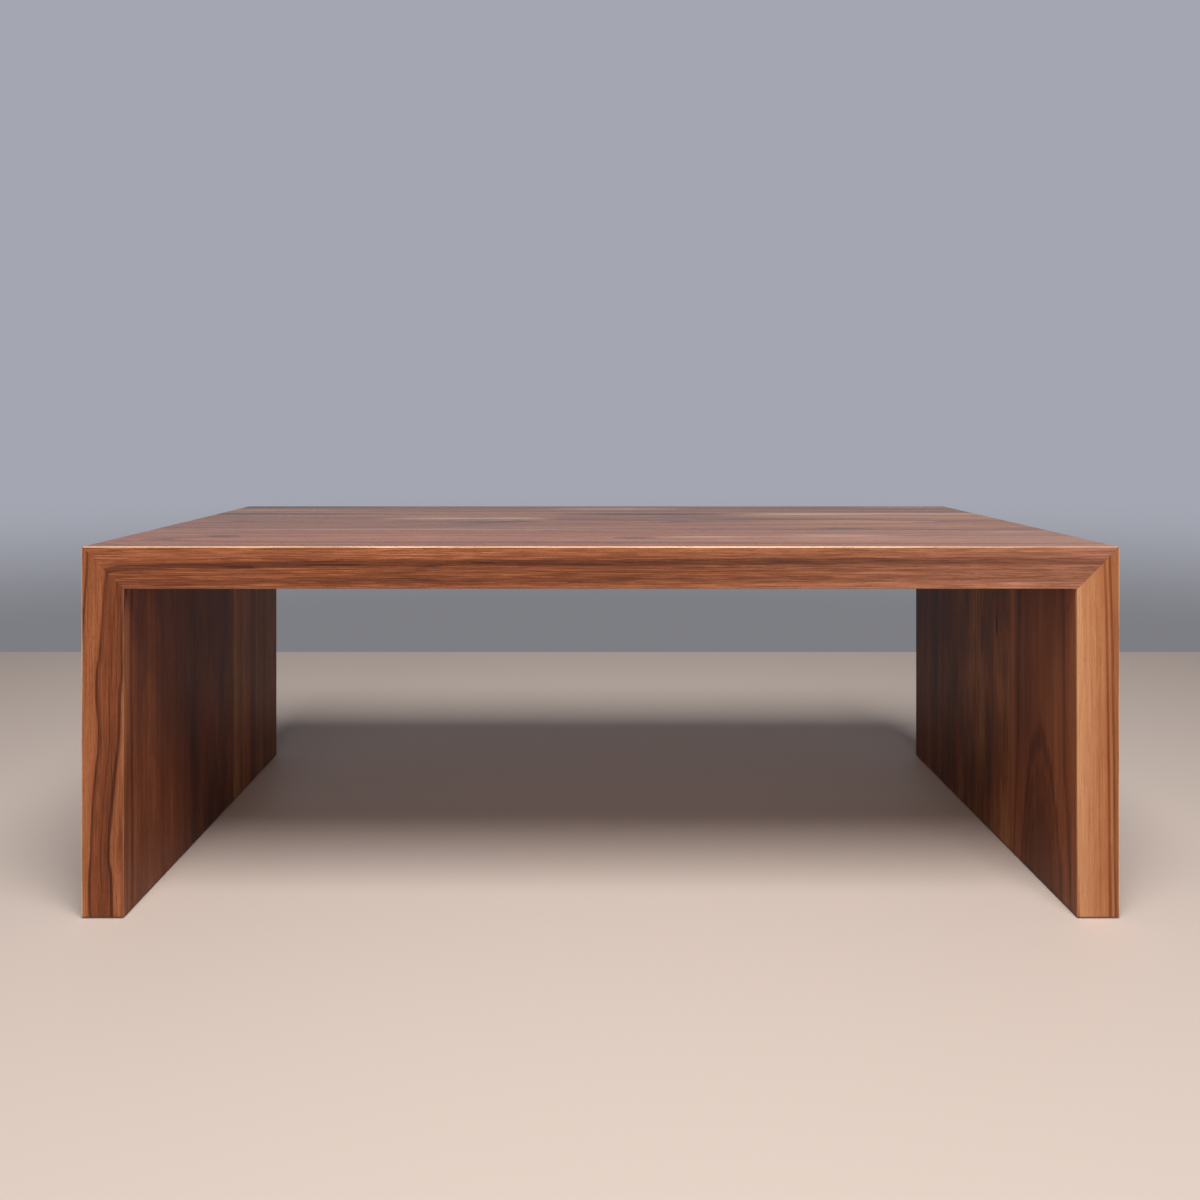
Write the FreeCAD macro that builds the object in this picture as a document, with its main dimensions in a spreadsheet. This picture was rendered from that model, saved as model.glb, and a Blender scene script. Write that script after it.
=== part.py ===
import FreeCAD, Part
import math
import os
import re
import Sketcher

# A waterfall coffee table in solid walnut: a top slab and two side slabs, each glued up from
# boards, meeting in mitres along the two upper corners and standing on recessed felt pads.
# Origin on the floor under the middle of the top, X to the right, Y to the back, Z up.

# Driving dimensions in millimetres, one spreadsheet cell each
dimensions = {
    # the three slabs
    "table_width": 1219,
    "table_depth": 610,
    "table_height": 437,
    "slab_thickness": 50,
    "foot_gap": 1.5,
    # eased edges; the mitred corners are rounded a little more than the arrises
    "arris_radius": 2,
    "corner_extra_radius": 1,
    # widths of the boards; one board of each slab takes what the others leave
    "front_board_width": 196,
    "top_rear_board_width": 145,
    "left_rear_board_width": 227,
    "right_second_board_width": 122,
    "right_third_board_width": 82,
    # loose tenons across the mitres
    "tenon_thickness": 12,
    "tenon_width": 40,
    "tenon_length": 50,
    "tenon_pitch": 150,
    "tenon_land": 8,
    # biscuits in the edge seams
    "biscuit_length": 56,
    "biscuit_width": 23,
    "biscuit_end_width": 6,
    "biscuit_thickness": 4,
    "biscuit_pitch": 230,
    # room in the glued joints
    "glue_gap": 0.1,
    "mortise_end_gap": 1,
    # felt pads let into the feet
    "pad_length": 90,
    "pad_width": 24,
    "pad_thickness": 4,
    "pad_inset": 25,
    "pad_clearance": 0.3,
}

mitre_angle = 45
tenon_inset_share = 0.36  # from the inner corner, along the mitre
coincident_tolerance = 1e-6

doc = FreeCAD.newDocument("waterfall_coffee_table")
sheet = doc.addObject("Spreadsheet::Sheet", "dims")
for row, (alias, value) in enumerate(dimensions.items(), 1):
    sheet.set(f"A{row}", alias)
    sheet.set(f"B{row}", str(value))
    sheet.setAlias(f"B{row}", alias)
doc.recompute()


# Expressions over the sheet

def bound(text):
    """The expression with each size in it pointing at its cell in the sheet."""
    return re.sub(r"[a-z_]+", lambda word: f"dims.{word[0]}" if word[0] in dimensions else word[0], text)


def size(text):
    """What the expression comes to, in millimetres."""
    return float(sheet.evalExpression(bound(text)))


half_width = "(table_width / 2)"
inner_face = "(table_width / 2 - slab_thickness)"
underside = "(table_height - slab_thickness)"
mid_side = "(table_width / 2 - slab_thickness / 2)"
mid_top = "(table_height - slab_thickness / 2)"
front_face = "(-table_depth / 2)"
rear_face = "(table_depth / 2)"
corner_radius = "(arris_radius + corner_extra_radius)"
corner_step = f"({corner_radius} * (1 - sqrt(0.5)))"

# Where the boards of each slab begin and end, front to back
first_seam = "(front_board_width - table_depth / 2)"
top_edges = [
    front_face,
    first_seam,
    "(table_depth / 2 - top_rear_board_width)",
    rear_face,
]
left_edges = [
    front_face,
    first_seam,
    "(table_depth / 2 - left_rear_board_width)",
    rear_face,
]
right_edges = [
    front_face,
    first_seam,
    "(front_board_width + right_second_board_width - table_depth / 2)",
    "(front_board_width + right_second_board_width + right_third_board_width - table_depth / 2)",
    rear_face,
]
signs = {"left": -1, "right": 1}
top_names = ["top_board_front", "top_board_middle", "top_board_rear"]
left_names = ["left_board_front", "left_board_middle", "left_board_rear"]
right_names = ["right_board_front", "right_board_second", "right_board_third", "right_board_rear"]
top_seam_names = ["top_front_seam_biscuits", "top_rear_seam_biscuits"]
left_seam_names = ["left_front_seam_biscuits", "left_rear_seam_biscuits"]
right_seam_names = ["right_front_seam_biscuits", "right_middle_seam_biscuits", "right_rear_seam_biscuits"]


# Bodies, sketches and features

def new_body(label):
    body = doc.addObject("PartDesign::Body", label)
    body.Label = label
    body.AllowCompound = True
    return body


def new_sketch(body, name, role, turn=FreeCAD.Rotation(), **offsets):
    """A sketch on one of the body's origin planes, turned on it and moved off it."""
    plane = next(feature for feature in body.Origin.OriginFeatures if feature.Role == role)
    sketch = body.newObject("Sketcher::SketchObject", name)
    sketch.AttachmentSupport = (plane, [""])
    sketch.MapMode = "FlatFace"
    sketch.AttachmentOffset = FreeCAD.Placement(FreeCAD.Vector(), turn)
    for axis, text in offsets.items():
        sketch.setExpression(f"AttachmentOffset.Base.{axis}", bound(text))
    return sketch


def dimension(sketch, kind, first, text):
    """A driving dimension in the sketch, tied to the sheet."""
    index = sketch.addConstraint(Sketcher.Constraint(kind, *first, size(text)))
    sketch.setExpression(f"Constraints[{index}]", bound(text))


def locate(sketch, geometry, point, x=None, y=None):
    """Dimensions a point of the sketch from the sketch's origin."""
    if x is not None:
        dimension(sketch, "DistanceX", (-1, 1, geometry, point), x)
    if y is not None:
        dimension(sketch, "DistanceY", (-1, 1, geometry, point), y)


def arc_between(start, end, centre):
    """A circular arc about a centre, with the end numbers of its start and its end."""
    radius = start.distanceToPoint(centre)
    angles = [math.atan2(point.y - centre.y, point.x - centre.x) for point in (start, end)]
    circle = Part.Circle(centre, FreeCAD.Vector(0, 0, 1), radius)
    if math.sin(angles[1] - angles[0]) > 0:
        return Part.ArcOfCircle(circle, angles[0], angles[1]), 1, 2
    return Part.ArcOfCircle(circle, angles[1], angles[0]), 2, 1


def outline(sketch, corners):
    """
    A closed outline through corners, each a dictionary with the expressions of x and y.
    A corner that leaves one out keeps it from the corner before, with a level or upright line between.
    A corner with a radius is reached by an arc of that radius about the given centre.
    """
    points = []
    for corner in corners:
        x = size(corner["x"]) if "x" in corner else points[-1].x
        y = size(corner["y"]) if "y" in corner else points[-1].y
        points.append(FreeCAD.Vector(x, y, 0))
    edges = []
    for index, corner in enumerate(corners):
        start, end = points[index - 1], points[index]
        if "radius" in corner:
            centre = FreeCAD.Vector(*(size(text) for text in corner["centre"]), 0)
            shape, first, last = arc_between(start, end, centre)
        else:
            shape, first, last = Part.LineSegment(start, end), 1, 2
        edges.append((sketch.addGeometry(shape, False), first, last))
    for index, corner in enumerate(corners):
        geometry, first, last = edges[index]
        before, _, before_last = edges[index - 1]
        sketch.addConstraint(Sketcher.Constraint("Coincident", before, before_last, geometry, first))
        locate(sketch, geometry, last, corner.get("x"), corner.get("y"))
        if "radius" in corner:
            dimension(sketch, "Radius", (geometry,), corner["radius"])
        elif "y" not in corner:
            sketch.addConstraint(Sketcher.Constraint("Horizontal", geometry))
        elif "x" not in corner:
            sketch.addConstraint(Sketcher.Constraint("Vertical", geometry))


def oblong(sketch, x, y, breadth, length):
    """A slot with round ends, its length along the sketch's Y."""
    radius = f"({breadth}) / 2"
    reach = f"(({length}) - ({breadth})) / 2"
    middle = FreeCAD.Vector(size(x), size(y), 0)
    up = FreeCAD.Vector(0, size(reach), 0)
    out = FreeCAD.Vector(size(radius), 0, 0)
    normal = FreeCAD.Vector(0, 0, 1)
    far = Part.ArcOfCircle(Part.Circle(middle + up, normal, size(radius)), 0, math.pi)
    near = Part.ArcOfCircle(Part.Circle(middle - up, normal, size(radius)), math.pi, 2 * math.pi)
    far_end = sketch.addGeometry(far, False)
    left = sketch.addGeometry(Part.LineSegment(middle + up - out, middle - up - out), False)
    near_end = sketch.addGeometry(near, False)
    right = sketch.addGeometry(Part.LineSegment(middle - up + out, middle + up + out), False)
    for first, second in ((far_end, left), (left, near_end), (near_end, right), (right, far_end)):
        sketch.addConstraint(Sketcher.Constraint("Tangent", first, 2, second, 1))
    sketch.addConstraint(Sketcher.Constraint("Vertical", left))
    dimension(sketch, "Radius", (far_end,), radius)
    locate(sketch, far_end, 3, x, f"{y} + {reach}")
    locate(sketch, near_end, 3, None, f"{y} - {reach}")


def circle(sketch, x, y, radius):
    middle = FreeCAD.Vector(size(x), size(y), 0)
    ring = Part.Circle(middle, FreeCAD.Vector(0, 0, 1), size(radius))
    geometry = sketch.addGeometry(ring, False)
    dimension(sketch, "Radius", (geometry,), radius)
    locate(sketch, geometry, 3, x, y)


def extrude(body, kind, name, sketch, length, both_ways=False, backward=False):
    """A pad or a pocket of a sketch."""
    feature = body.newObject(f"PartDesign::{kind}", name)
    feature.Profile = sketch
    feature.SideType = "Symmetric" if both_ways else "One side"
    feature.Reversed = backward
    feature.setExpression("Length", bound(length))
    doc.recompute()
    return feature


def round_over(body, name, radius, wanted):
    """Rounds those edges of the body that the test picks out."""
    base = body.Tip
    edges = [f"Edge{number}" for number, edge in enumerate(base.Shape.Edges, 1) if wanted(edge)]
    if edges:
        feature = body.newObject("PartDesign::Fillet", name)
        feature.Base = (base, edges)
        feature.setExpression("Radius", bound(radius))
        doc.recompute()


def lies_at(edge, axis, value):
    """Whether the whole edge lies in the plane where the axis has this value."""
    low, high = getattr(edge.BoundBox, f"{axis}Min"), getattr(edge.BoundBox, f"{axis}Max")
    return abs(low - value) < coincident_tolerance and abs(high - value) < coincident_tolerance


def slants(edge):
    """Whether the edge is a straight one that runs along a mitre."""
    box = edge.BoundBox
    straight = isinstance(edge.Curve, Part.Line)
    return straight and min(box.XLength, box.ZLength) > coincident_tolerance


# Boards

def top_outline(sketch):
    """The top's section seen from the front: a long trapezium whose outer tips are an eighth of a turn."""
    tip_x = f"({half_width} - {corner_step})"
    tip_z = f"table_height - {corner_step}"
    round_x = f"({half_width} - {corner_radius})"
    round_z = f"table_height - {corner_radius}"
    outline(sketch, [
        {"x": f"-{inner_face}", "y": underside},
        {"x": inner_face},
        {"x": tip_x, "y": tip_z},
        {"x": round_x, "y": "table_height", "radius": corner_radius, "centre": (round_x, round_z)},
        {"x": f"-{round_x}"},
        {"x": f"-{tip_x}", "y": tip_z, "radius": corner_radius, "centre": (f"-{round_x}", round_z)},
    ])


def side_outline(sketch, sign):
    """A side's section seen from the front, mitred at the top and square at the foot."""
    round_x = f"{sign} * ({half_width} - {corner_radius})"
    round_z = f"table_height - {corner_radius}"
    outline(sketch, [
        {"x": f"{sign} * {inner_face}", "y": underside},
        {"y": "foot_gap"},
        {"x": f"{sign} * {half_width}"},
        {"y": round_z},
        {"x": f"{sign} * ({half_width} - {corner_step})", "y": f"table_height - {corner_step}",
         "radius": corner_radius, "centre": (round_x, round_z)},
    ])


def board(label, draw, start, end):
    """A board from its front edge to its rear edge, with the arrises that can be touched rounded over."""
    body = new_body(label)
    section = new_sketch(body, f"{label}_section", "XZ_Plane", z=f"-{end}")
    draw(section)
    extrude(body, "Pad", f"{label}_blank", section, f"{end} - {start}")
    open_faces = [size(face) for face in (start, end) if face in (front_face, rear_face)]
    foot = size("foot_gap")

    def touched(edge):
        at_foot = lies_at(edge, "Z", foot) and edge.BoundBox.YLength > coincident_tolerance
        return at_foot or any(lies_at(edge, "Y", face) and not slants(edge) for face in open_faces)

    round_over(body, f"{label}_arrises", "arris_radius", touched)
    return body


# Mitre joints

def shared_spans(edges, other_edges):
    """The stretches along a mitre that belong to one board on each side of it."""
    cuts = sorted(set(edges + other_edges), key=size)
    return list(zip(cuts, cuts[1:]))


def tenon_places(edges, other_edges):
    """Where the tenons of a mitre are centred, evenly spread over each stretch that has room for them."""
    places = []
    for start, end in shared_spans(edges, other_edges):
        span = size(f"{end} - {start}")
        fits = int(span // size("tenon_width + 2 * tenon_land"))
        count = min(fits, max(1, round(span / size("tenon_pitch"))))
        for index in range(count):
            place_share = (2 * index + 1) / (2 * count)
            places.append(f"({start} + ({end} - {start}) * {place_share})")
    return places


def mitre_sketch(body, name, sign, places, play):
    """
    The tenons' sections on the mitre plane, each grown by the play all round.
    The sketch starts at the inner corner, faces away from the top and has the front to back way as its Y.
    """
    turn = FreeCAD.Rotation(FreeCAD.Vector(0, 1, 0), sign * (180 - mitre_angle))
    sketch = new_sketch(body, name, "XY_Plane", turn, x=f"{sign} * {inner_face}", z=underside)
    inset = f"{-sign} * slab_thickness * sqrt(2) * {tenon_inset_share}"
    for place_along in places:
        oblong(sketch, inset, place_along, f"tenon_thickness + 2 * {play}", f"tenon_width + 2 * {play}")
    return sketch


def cut_mortises(body, sign, places, start, end, into_side):
    """The mortises of those tenons of a mitre that fall in this board."""
    own = [text for text in places if size(start) < size(text) < size(end)]
    if own:
        side_name = "right" if sign > 0 else "left"
        sketch = mitre_sketch(body, f"{body.Label}_{side_name}_mortise_sections", sign, own, "glue_gap")
        extrude(body, "Pocket", f"{body.Label}_{side_name}_mortises", sketch,
                "tenon_length / 2 + mortise_end_gap", backward=into_side)


def mitre_tenons(label, sign, places):
    """Loose tenons, half in the top and half in a side."""
    body = new_body(label)
    sketch = mitre_sketch(body, f"{label}_sections", sign, places, "0")
    extrude(body, "Pad", f"{label}_blanks", sketch, "tenon_length", both_ways=True)
    return body


# Seam joints

# A biscuit's two long edges are arcs of the round cutter that makes its slots
biscuit_rise = "((biscuit_width - biscuit_end_width) / 2)"
cutter_radius = (f"((biscuit_length * biscuit_length / 4 + {biscuit_rise} * {biscuit_rise})"
                 f" / (2 * {biscuit_rise}))")
slot_depth = "(biscuit_width / 2 + mortise_end_gap)"


def seam_sketch(body, name, slab):
    """
    A sketch in the middle of the slab's thickness, with the seam along its X.
    Comes with the seam's two ends, as the sketch's X.
    """
    if slab == "top":
        sketch = new_sketch(body, name, "XY_Plane", z=mid_top)
        return sketch, f"(-{inner_face})", inner_face
    turn = FreeCAD.Rotation(FreeCAD.Vector(0, 0, 1), 90)
    sketch = new_sketch(body, name, "YZ_Plane", turn, z=f"{signs[slab]} * {mid_side}")
    return sketch, "foot_gap", underside


def across(slab, y):
    """A place front to back, as the Y of a seam sketch on that slab."""
    return f"({y})" if slab == "top" else f"(-({y}))"


def seam_row(begin, end):
    """Biscuits spread evenly over a seam: their count, the first one's place and the length of the row."""
    count = max(1, round(size(f"{end} - {begin}") / size("biscuit_pitch")))
    step = f"(({end} - {begin}) / {count})"
    return count, f"({begin} + {step} / 2)", f"{step} * {count - 1}"


def repeat(body, name, feature, sketch, count, length):
    """Copies of a feature spread over a length along the sketch's X."""
    row = body.newObject("PartDesign::LinearPattern", name)
    row.Originals = [feature]
    row.Direction = (sketch, ["H_Axis"])
    row.setExpression("Length", bound(length))
    row.Occurrences = count
    body.Tip = row
    doc.recompute()


def cut_slots(body, slab, seam, toward_back):
    """The biscuit slots in one edge of a board, each the sweep of a round cutter."""
    name = f"{body.Label}_{'rear' if toward_back else 'front'}"
    sketch, begin, end = seam_sketch(body, f"{name}_cutter_path", slab)
    count, first, length = seam_row(begin, end)
    outward = "+" if toward_back else "-"
    centre = f"{seam} {outward} ({cutter_radius} - {slot_depth})"
    circle(sketch, first, across(slab, centre), cutter_radius)
    thickness = "biscuit_thickness + 2 * glue_gap"
    slot = extrude(body, "Pocket", f"{name}_slot", sketch, thickness, both_ways=True)
    if count > 1:
        repeat(body, f"{name}_slots", slot, sketch, count, length)


def seam_biscuits(label, slab, seam):
    """A row of biscuits across a seam: pointed ovals from two arcs of the cutter, cropped at the ends."""
    body = new_body(label)
    sketch, begin, end = seam_sketch(body, f"{label}_oval", slab)
    count, x, length = seam_row(begin, end)
    y = across(slab, seam)
    left, right = f"{x} - biscuit_length / 2", f"{x} + biscuit_length / 2"
    low, high = f"{y} - biscuit_end_width / 2", f"{y} + biscuit_end_width / 2"
    drop = f"({cutter_radius} - biscuit_width / 2)"
    outline(sketch, [
        {"x": left, "y": low},
        {"x": right, "y": low, "radius": cutter_radius, "centre": (x, f"{y} + {drop}")},
        {"y": high},
        {"x": left, "y": high, "radius": cutter_radius, "centre": (x, f"{y} - {drop}")},
    ])
    blank = extrude(body, "Pad", f"{label}_blank", sketch, "biscuit_thickness", both_ways=True)
    if count > 1:
        repeat(body, f"{label}_row", blank, sketch, count, length)
    return body


# Felt pads

def pad_sketch(body, name, sign, y, height, play):
    """A pad's outline at a height, in the middle of a side's foot, grown by the play all round."""
    sketch = new_sketch(body, name, "XY_Plane", z=height)
    oblong(sketch, f"{sign} * {mid_side}", y, f"pad_width + 2 * {play}", f"pad_length + 2 * {play}")
    return sketch


def cut_pad_recess(body, name, sign, y, start, end):
    """
    What a pad's shallow recess takes out of a board, if it reaches that far along the glued-up foot.
    It is as deep as leaves the pad standing out by the gap under the wood.
    """
    reach = "(pad_length / 2 + pad_clearance)"
    if size(f"{y} + {reach}") > size(start) and size(f"{y} - {reach}") < size(end):
        sketch = pad_sketch(body, f"{name}_outline", sign, y, "foot_gap", "pad_clearance")
        extrude(body, "Pocket", name, sketch, "pad_thickness - foot_gap", backward=True)


def felt_pad(label, sign, y):
    """A felt pad with round ends, from the floor to the top of its recess."""
    body = new_body(label)
    sketch = pad_sketch(body, f"{label}_outline", sign, y, "0", "0")
    extrude(body, "Pad", f"{label}_blank", sketch, "pad_thickness")
    return body


# The table

parts = []
side_edges = {"left": left_edges, "right": right_edges}
side_names = {"left": left_names, "right": right_names}
tenons = {side: tenon_places(top_edges, side_edges[side]) for side in signs}
pad_centre = "(pad_inset + pad_length / 2)"
pad_rows = {"front": f"({front_face} + {pad_centre})", "rear": f"({rear_face} - {pad_centre})"}

for label, start, end in zip(top_names, top_edges, top_edges[1:]):
    piece = board(label, top_outline, start, end)
    for side, sign in signs.items():
        cut_mortises(piece, sign, tenons[side], start, end, into_side=False)
    if end != rear_face:
        cut_slots(piece, "top", end, toward_back=True)
    if start != front_face:
        cut_slots(piece, "top", start, toward_back=False)
    parts.append(piece)

for side, sign in signs.items():
    edges = side_edges[side]
    for label, start, end in zip(side_names[side], edges, edges[1:]):
        piece = board(label, lambda sketch: side_outline(sketch, sign), start, end)
        cut_mortises(piece, sign, tenons[side], start, end, into_side=True)
        if end != rear_face:
            cut_slots(piece, side, end, toward_back=True)
        if start != front_face:
            cut_slots(piece, side, start, toward_back=False)
        for row, y in pad_rows.items():
            cut_pad_recess(piece, f"{label}_{row}_recess", sign, y, start, end)
        parts.append(piece)
    parts.append(mitre_tenons(f"mitre_tenons_{side}", sign, tenons[side]))

for slab, names, edges in (("top", top_seam_names, top_edges), ("left", left_seam_names, left_edges),
                           ("right", right_seam_names, right_edges)):
    for label, seam in zip(names, edges[1:-1]):
        parts.append(seam_biscuits(label, slab, seam))

for side, sign in signs.items():
    for row, y in pad_rows.items():
        parts.append(felt_pad(f"felt_pad_{row}_{side}", sign, y))
doc.recompute()


# Checks, then one file for each sub-part

for item in doc.Objects:
    if "Invalid" in item.State or "Error" in item.State:
        raise RuntimeError(f"{item.Label} failed: {item.State}")
    if item.TypeId == "PartDesign::Pocket":
        if item.Shape.Volume >= item.BaseFeature.Shape.Volume - coincident_tolerance:
            raise RuntimeError(f"{item.Label} cuts nothing")
for part in parts:
    if part.Shape.isNull() or not part.Shape.isValid():
        raise RuntimeError(f"{part.Label} has no valid shape")

os.makedirs("parts", exist_ok=True)
for part in parts:
    part.Shape.exportStep(f"parts/{part.Label}.step")
    print(part.Label, len(part.Shape.Solids), "solids", round(part.Shape.Volume), "mm3")
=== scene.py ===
import math
import random

import bmesh
import bpy
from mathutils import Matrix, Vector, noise


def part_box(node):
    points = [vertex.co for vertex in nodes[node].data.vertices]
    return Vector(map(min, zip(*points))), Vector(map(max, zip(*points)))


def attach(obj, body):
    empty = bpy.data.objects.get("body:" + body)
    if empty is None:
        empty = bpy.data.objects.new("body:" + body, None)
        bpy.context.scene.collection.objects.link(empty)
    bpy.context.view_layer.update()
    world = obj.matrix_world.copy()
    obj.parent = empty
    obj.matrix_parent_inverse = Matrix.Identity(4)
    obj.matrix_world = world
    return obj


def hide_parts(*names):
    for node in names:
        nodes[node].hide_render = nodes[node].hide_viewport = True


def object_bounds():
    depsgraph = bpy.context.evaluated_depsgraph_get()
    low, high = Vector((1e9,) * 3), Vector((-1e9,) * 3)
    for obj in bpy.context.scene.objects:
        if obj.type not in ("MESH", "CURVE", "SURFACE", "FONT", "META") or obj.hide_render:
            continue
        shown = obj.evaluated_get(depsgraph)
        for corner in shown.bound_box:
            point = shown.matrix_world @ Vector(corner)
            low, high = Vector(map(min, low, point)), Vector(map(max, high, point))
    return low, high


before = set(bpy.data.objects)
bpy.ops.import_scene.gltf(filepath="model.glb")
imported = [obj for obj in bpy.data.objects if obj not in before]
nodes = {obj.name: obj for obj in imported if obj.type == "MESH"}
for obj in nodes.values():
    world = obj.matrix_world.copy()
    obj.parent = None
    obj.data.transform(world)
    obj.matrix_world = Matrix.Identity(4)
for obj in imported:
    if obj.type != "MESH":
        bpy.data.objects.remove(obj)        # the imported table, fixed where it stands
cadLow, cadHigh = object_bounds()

mm = 0.001                # figure of the wood is written in mm, the scene is in metres
print("table loaded,", len(nodes), "nodes")


# Node helpers
def addNode(tree, kind, inputs=None, **settings):
    node = tree.nodes.new(kind)
    for name, value in settings.items():
        setattr(node, name, value)
    for socket, value in (inputs or {}).items():
        if isinstance(value, bpy.types.NodeSocket):
            tree.links.new(value, node.inputs[socket])
        else:
            node.inputs[socket].default_value = value
    return node


def doMath(tree, operation, *values):
    node = addNode(tree, "ShaderNodeMath", dict(enumerate(values)), operation=operation)
    return node.outputs[0]


def doVector(tree, operation, *values):
    node = addNode(tree, "ShaderNodeVectorMath", dict(enumerate(values)), operation=operation)
    return node.outputs["Value" if operation == "LENGTH" else "Vector"]


def spread(tree, value, fromRange, toRange, shape="SMOOTHSTEP"):
    inputs = {"Value": value, "From Min": fromRange[0], "From Max": fromRange[1],
              "To Min": toRange[0], "To Max": toRange[1]}
    return addNode(tree, "ShaderNodeMapRange", inputs, interpolation_type=shape).outputs["Result"]


def addUp(tree, *values):
    total = values[0]
    for value in values[1:]:
        total = doMath(tree, "ADD", total, value)
    return total


def blendColour(tree, share, first, second, kind="MIX"):
    mix = addNode(tree, "ShaderNodeMix", data_type="RGBA", blend_type=kind)
    for index, value in ((0, share), (6, first), (7, second)):     # the mix node's colour sockets
        if isinstance(value, bpy.types.NodeSocket):
            tree.links.new(value, mix.inputs[index])
        else:
            mix.inputs[index].default_value = value
    return mix.outputs[2]


def colourRamp(tree, value, stops):
    node = addNode(tree, "ShaderNodeValToRGB", {"Fac": value})
    ramp = node.color_ramp
    while len(ramp.elements) < len(stops):
        ramp.elements.new(1.0)
    for element, (place, colour) in zip(ramp.elements, stops):
        element.position = place
        element.color = (*colour, 1.0)
    return node.outputs["Color"]


def handCurve(tree, value, points):
    # a smooth curve through given points: (where, how much)
    wheres, amounts = zip(*points)
    low, high = min(amounts), max(amounts)
    share = spread(tree, value, (wheres[0], wheres[-1]), (0.0, 1.0), "LINEAR")
    node = addNode(tree, "ShaderNodeFloatCurve", {"Value": share})
    curve = node.mapping.curves[0]
    while len(curve.points) < len(points):
        curve.points.new(0.5, 0.5)
    for point, (where, amount) in zip(curve.points, points):
        across = (where - wheres[0]) / (wheres[-1] - wheres[0])
        point.location = (across, (amount - low) / (high - low))
    node.mapping.update()
    return spread(tree, node.outputs["Value"], (0.0, 1.0), (low, high), "LINEAR")


def newMaterial(name):
    material = bpy.data.materials.new(name)
    material.use_nodes = True
    tree = material.node_tree
    return material, tree, tree.nodes["Principled BSDF"]


# Camera, level, with the frame shifted down to the table
viewer = {
    "stand": (-0.015, -1.544, 0.580),
    "sensor": 36.0,
    "imageSide": 1200,             # pixels
    "focalPixels": 1056,
    "eyePixel": (587.7, 424.6),    # where the level line of sight meets the picture
}


def placeCamera(viewer):
    data = bpy.data.cameras.new("tableCamera")
    side = viewer["imageSide"]
    data.sensor_width = viewer["sensor"]
    data.lens = viewer["sensor"] * viewer["focalPixels"] / side
    data.shift_x = (side / 2 - viewer["eyePixel"][0]) / side
    data.shift_y = (viewer["eyePixel"][1] - side / 2) / side
    camera = bpy.data.objects.new("tableCamera", data)
    camera.location = viewer["stand"]
    camera.rotation_euler = (math.radians(90), 0, 0)
    bpy.context.scene.collection.objects.link(camera)
    bpy.context.scene.camera = camera


placeCamera(viewer)
bpy.context.scene.view_settings.view_transform = "Standard"
print("camera placed")


# Floor, and backdrop with painted shade towards the floor
studio = {
    "floorColour": (0.70, 0.60, 0.54),
    "floorRoughness": 0.6,
    "floorReach": 7.0,             # metres to the front and both sides
    "floorBehind": 1.15,           # metres behind the middle of the table
    "backdropColour": (0.372, 0.382, 0.440),
    "backdropShadedFoot": (0.205, 0.207, 0.225),     # painted shade: the backdrop darkens towards the floor
    "backdropRise": (-0.17, -0.06),            # over these slopes of the line of sight
    "skyColour": (1.0, 0.86, 0.80),
    "skyStrength": 0.047,
}


def layFloor(studio):
    reach, behind = studio["floorReach"], studio["floorBehind"]
    mesh = bpy.data.meshes.new("studioFloor")
    corners = [(-reach, -reach, 0), (reach, -reach, 0), (reach, behind, 0), (-reach, behind, 0)]
    mesh.from_pydata(corners, [], [(0, 1, 2, 3)])
    floor = bpy.data.objects.new("studioFloor", mesh)
    bpy.context.scene.collection.objects.link(floor)
    material, tree, shader = newMaterial("paleFloor")
    shader.inputs["Base Color"].default_value = (*studio["floorColour"], 1.0)
    shader.inputs["Roughness"].default_value = studio["floorRoughness"]
    mesh.materials.append(material)


def lightSky(studio):
    world = bpy.data.worlds.new("studioSky")
    bpy.context.scene.world = world
    world.use_nodes = True
    tree = world.node_tree
    soft = tree.nodes["Background"]
    soft.inputs["Color"].default_value = (*studio["skyColour"], 1.0)
    soft.inputs["Strength"].default_value = studio["skyStrength"]
    way = addNode(tree, "ShaderNodeTexCoord").outputs["Generated"]
    slope = addNode(tree, "ShaderNodeSeparateXYZ", {0: way}).outputs["Z"]
    rise = spread(tree, slope, studio["backdropRise"], (0.0, 1.0))
    wall = blendColour(tree, rise, (*studio["backdropShadedFoot"], 1.0), (*studio["backdropColour"], 1.0))
    seen = addNode(tree, "ShaderNodeBackground", {"Color": wall})
    path = addNode(tree, "ShaderNodeLightPath").outputs
    looks = doMath(tree, "MAXIMUM", path["Is Camera Ray"], path["Is Glossy Ray"])
    looks = doMath(tree, "MAXIMUM", looks, path["Is Transmission Ray"])
    both = addNode(tree, "ShaderNodeMixShader", {0: looks, 1: soft.outputs[0], 2: seen.outputs[0]})
    tree.links.new(both.outputs[0], tree.nodes["World Output"].inputs["Surface"])


lamps = {
    "keySoftbox": {"stand": (0.15, -1.45, 2.8), "aim": (0.0, -0.2, 0.2), "size": (1.8, 1.4),
                   "watts": 92, "colour": (1.0, 0.97, 0.94), "mirrored": True},
    "frontFill": {"stand": (-0.2, -4.4, 1.5), "aim": (0.0, 0.0, 0.3), "size": (2.4, 1.6),
                  "watts": 60, "colour": (1.0, 0.97, 0.94), "mirrored": False},
}


def hangLamp(name, lamp):
    data = bpy.data.lights.new(name, "AREA")
    data.shape = "RECTANGLE"
    data.size, data.size_y = lamp["size"]
    data.energy = lamp["watts"]
    data.color = lamp["colour"]
    light = bpy.data.objects.new(name, data)
    light.location = lamp["stand"]
    light.visible_glossy = lamp["mirrored"]
    toward = [end - start for start, end in zip(lamp["stand"], lamp["aim"])]
    light.rotation_euler = Vector(toward).to_track_quat("-Z", "Y").to_euler()
    bpy.context.scene.collection.objects.link(light)


layFloor(studio)
lightSky(studio)
for lampName, lamp in lamps.items():
    hangLamp(lampName, lamp)
print("floor, sky and", len(lamps), "lamps set")


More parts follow.
